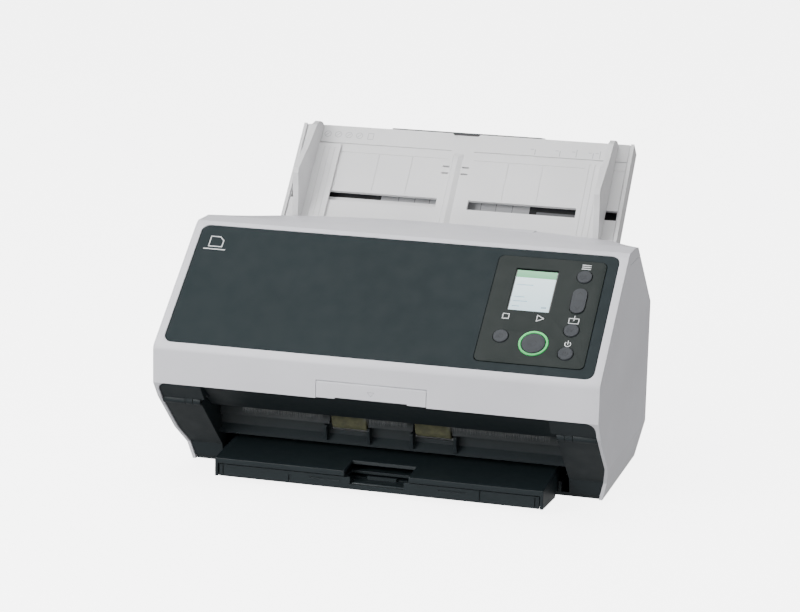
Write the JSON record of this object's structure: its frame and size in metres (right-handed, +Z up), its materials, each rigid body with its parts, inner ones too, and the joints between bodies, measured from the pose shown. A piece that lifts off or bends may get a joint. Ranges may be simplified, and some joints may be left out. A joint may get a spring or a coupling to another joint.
{
  "type": "sheet fed document scanner",
  "caption": "Desktop sheet fed document scanner with an inclined paper chute, an opening top section with operator panel, and a pull-out stacker.",
  "frame": {"origin": "on the table, under the middle of the whole object's footprint, chute included", "axes": "+X to the right seen from the front, +Y to the rear, +Z up"},
  "size_m": [0.3, 0.2437, 0.2141],
  "materials": {
    "white_shell": "fine textured light grey",
    "dark_shell": "fine textured dark teal grey",
    "mouth_plastic": "dark grey",
    "tray_plastic": "dark grey, satin",
    "operator_plastic": "dark grey, smooth satin",
    "button_plastic": "mid grey satin",
    "chute_plastic": "light grey satin",
    "display_glass": "lit display behind a clear window",
    "ring_plastic": "translucent green light guide",
    "sheet_steel": "zinc plated",
    "shaft_steel": "ground",
    "bush_plastic": "natural acetal",
    "roller_rubber": "ground grey rubber",
    "eject_rubber": "khaki rubber",
    "foot_rubber": "black",
    "belt_rubber": "black neoprene",
    "pulley_plastic": "white acetal",
    "scan_housing": "black",
    "scan_glass": "polished",
    "board_green": "printed circuit board",
    "motor_metal": "plated can",
    "port_metal": "tinned",
    "brush_bristle": "conductive bristles"
  },
  "bodies": {
    "base": {"bottom_plate": "mouth_plastic", "side_cover_left": "white_shell", "side_cover_right": "white_shell", "rear_cover": "white_shell", "mouth_frame": "mouth_plastic", "cover_hinge_pins": "shaft_steel", "lower_guide": "mouth_plastic", "chassis": "sheet_steel", "shaft_bushes": "bush_plastic", "lower_scan_unit": "scan_housing", "lower_scan_glass": "scan_glass", "main_board": "board_green", "feed_motor": "motor_metal", "drive_belt": "belt_rubber", "dc_inlet": "scan_housing", "usb_port": "port_metal", "lan_port": "port_metal", "rubber_feet": "foot_rubber", "frame_screws": "sheet_steel", "chute_plate": "chute_plastic", "chute_back": "chute_plastic"},
    "top_section": {"top_cover": "white_shell", "dark_panel": "dark_shell", "operator_panel": "operator_plastic", "display": "display_glass", "control_board": "board_green", "upper_guide": "mouth_plastic", "upper_scan_unit": "scan_housing", "upper_scan_glass": "scan_glass", "static_brushes": "brush_bristle", "scan_ring": "ring_plastic"},
    "return_guide": {"return_guide": "white_shell"},
    "release_lever": {"release_lever": "white_shell"},
    "brake_roller": {"brake_roller": "roller_rubber"},
    "feed_idlers": {"feed_idlers": "pulley_plastic"},
    "eject_idlers": {"eject_idlers": "pulley_plastic"},
    "pick_drive": {"pick_shaft": "shaft_steel", "pick_rollers": "roller_rubber", "pick_pulley": "pulley_plastic"},
    "feed_drive": {"feed_shaft": "shaft_steel", "feed_rollers": "roller_rubber", "feed_pulley": "pulley_plastic"},
    "eject_drive": {"eject_shaft": "shaft_steel", "eject_rollers": "eject_rubber", "eject_pulley": "pulley_plastic"},
    "motor_pulley": {"motor_pulley": "shaft_steel"},
    "chute_extension": {"chute_extension": "chute_plastic"},
    "guide_left": {"guide_left": "chute_plastic"},
    "guide_right": {"guide_right": "chute_plastic"},
    "guide_pinion": {"guide_pinion": "pulley_plastic"},
    "stacker_tray": {"stacker_tray": "tray_plastic"},
    "stacker_extension_1": {"stacker_extension_1": "tray_plastic"},
    "stacker_extension_2": {"stacker_extension_2": "tray_plastic"},
    "stacker_stopper": {"stacker_stopper": "tray_plastic"},
    "button_rocker": {"button_rocker": "button_plastic"},
    "button_menu": {"button_menu": "button_plastic"},
    "button_manual_feed": {"button_manual_feed": "button_plastic"},
    "button_power": {"button_power": "button_plastic"},
    "button_scan": {"button_scan": "button_plastic"},
    "button_stop": {"button_stop": "button_plastic"}
  },
  "joints": [
    {"name": "top_section_hinge", "type": "hinge", "parent": "base", "child": "top_section", "pos_m": [0, -0.10749, 0.0555], "axis": [1, 0, 0], "range_deg": [0, 75]},
    {"name": "return_guide_hinge", "type": "hinge", "parent": "top_section", "child": "return_guide", "pos_m": [0, -0.12024, 0.07955], "axis": [-1, 0, 0], "range_deg": [0, 60]},
    {"name": "release_lever_hinge", "type": "hinge", "parent": "top_section", "child": "release_lever", "pos_m": [0.052, 0.03871, 0.15581], "axis": [1, 0, 0], "range_deg": [0, 20], "stiffness_Nm_per_rad": 0.05, "springref_deg": -5.73},
    {"name": "button_menu_press", "type": "slide", "parent": "top_section", "child": "button_menu", "axis": [0, 0.6389, -0.7693], "range_m": [0, 0.001], "stiffness_N_per_m": 300, "springref_m": -0.001},
    {"name": "button_manual_feed_press", "type": "slide", "parent": "top_section", "child": "button_manual_feed", "axis": [0, 0.6389, -0.7693], "range_m": [0, 0.001], "stiffness_N_per_m": 300, "springref_m": -0.001},
    {"name": "button_power_press", "type": "slide", "parent": "top_section", "child": "button_power", "axis": [0, 0.6389, -0.7693], "range_m": [0, 0.001], "stiffness_N_per_m": 300, "springref_m": -0.001},
    {"name": "button_scan_press", "type": "slide", "parent": "top_section", "child": "button_scan", "axis": [0, 0.6389, -0.7693], "range_m": [0, 0.001], "stiffness_N_per_m": 300, "springref_m": -0.001},
    {"name": "button_stop_press", "type": "slide", "parent": "top_section", "child": "button_stop", "axis": [0, 0.6389, -0.7693], "range_m": [0, 0.001], "stiffness_N_per_m": 300, "springref_m": -0.001},
    {"name": "button_rocker_hinge", "type": "hinge", "parent": "top_section", "child": "button_rocker", "pos_m": [0.124, -0.06989, 0.13457], "axis": [1, 0, 0], "range_deg": [-4, 4], "stiffness_Nm_per_rad": 0.05},
    {"name": "feed_shaft_spin", "type": "hinge", "parent": "base", "child": "feed_drive", "pos_m": [0, -0.01959, 0.06508], "axis": [1, 0, 0], "continuous": true},
    {"name": "pick_shaft_spin", "type": "hinge", "parent": "base", "child": "pick_drive", "pos_m": [0, 0.02174, 0.08961], "axis": [1, 0, 0], "continuous": true},
    {"name": "eject_shaft_spin", "type": "hinge", "parent": "base", "child": "eject_drive", "pos_m": [0, -0.06449, 0.04304], "axis": [1, 0, 0], "continuous": true},
    {"name": "motor_spin", "type": "hinge", "parent": "base", "child": "motor_pulley", "pos_m": [0, 0.01351, 0.044], "axis": [1, 0, 0], "continuous": true},
    {"name": "brake_roller_spin", "type": "hinge", "parent": "top_section", "child": "brake_roller", "pos_m": [0, 0.00491, 0.10439], "axis": [1, 0, 0], "continuous": true},
    {"name": "feed_idlers_spin", "type": "hinge", "parent": "top_section", "child": "feed_idlers", "pos_m": [0, -0.02568, 0.07813], "axis": [1, 0, 0], "continuous": true},
    {"name": "eject_idlers_spin", "type": "hinge", "parent": "top_section", "child": "eject_idlers", "pos_m": [0, -0.07099, 0.057], "axis": [1, 0, 0], "continuous": true},
    {"name": "chute_extension_slide", "type": "slide", "parent": "base", "child": "chute_extension", "axis": [0, 0.66, 0.7513], "range_m": [0, 0.09]},
    {"name": "guide_left_slide", "type": "slide", "parent": "base", "child": "guide_left", "axis": [1, 0, 0], "range_m": [0, 0.076]},
    {"name": "guide_right_slide", "type": "slide", "parent": "base", "child": "guide_right", "axis": [1, 0, 0], "range_m": [-0.076, 0]},
    {"name": "guide_pinion_spin", "type": "hinge", "parent": "base", "child": "guide_pinion", "pos_m": [0, 0.0671, 0.14958], "axis": [0, -0.7513, 0.66], "range_deg": [-325, 4]},
    {"name": "stacker_tray_slide", "type": "slide", "parent": "base", "child": "stacker_tray", "axis": [0, -1, 0], "range_m": [0, 0.07]},
    {"name": "stacker_extension_1_slide", "type": "slide", "parent": "stacker_tray", "child": "stacker_extension_1", "axis": [0, -1, 0], "range_m": [0, 0.07]},
    {"name": "stacker_extension_2_slide", "type": "slide", "parent": "stacker_extension_1", "child": "stacker_extension_2", "axis": [0, -1, 0], "range_m": [0, 0.065]},
    {"name": "stacker_stopper_hinge", "type": "hinge", "parent": "stacker_extension_2", "child": "stacker_stopper", "pos_m": [0, -0.10029, 0.007], "axis": [1, 0, 0], "range_deg": [0, 90]}
  ],
  "couplings": [
    {"joint": "guide_right_slide", "follows": "guide_left_slide", "ratio": -1},
    {"joint": "guide_pinion_spin", "follows": "guide_left_slide", "rad_per_m": -71.429},
    {"joint": "pick_shaft_spin", "follows": "feed_shaft_spin", "ratio": 1.05},
    {"joint": "eject_shaft_spin", "follows": "feed_shaft_spin", "ratio": 1.3125},
    {"joint": "motor_spin", "follows": "feed_shaft_spin", "ratio": 1.75}
  ]
}
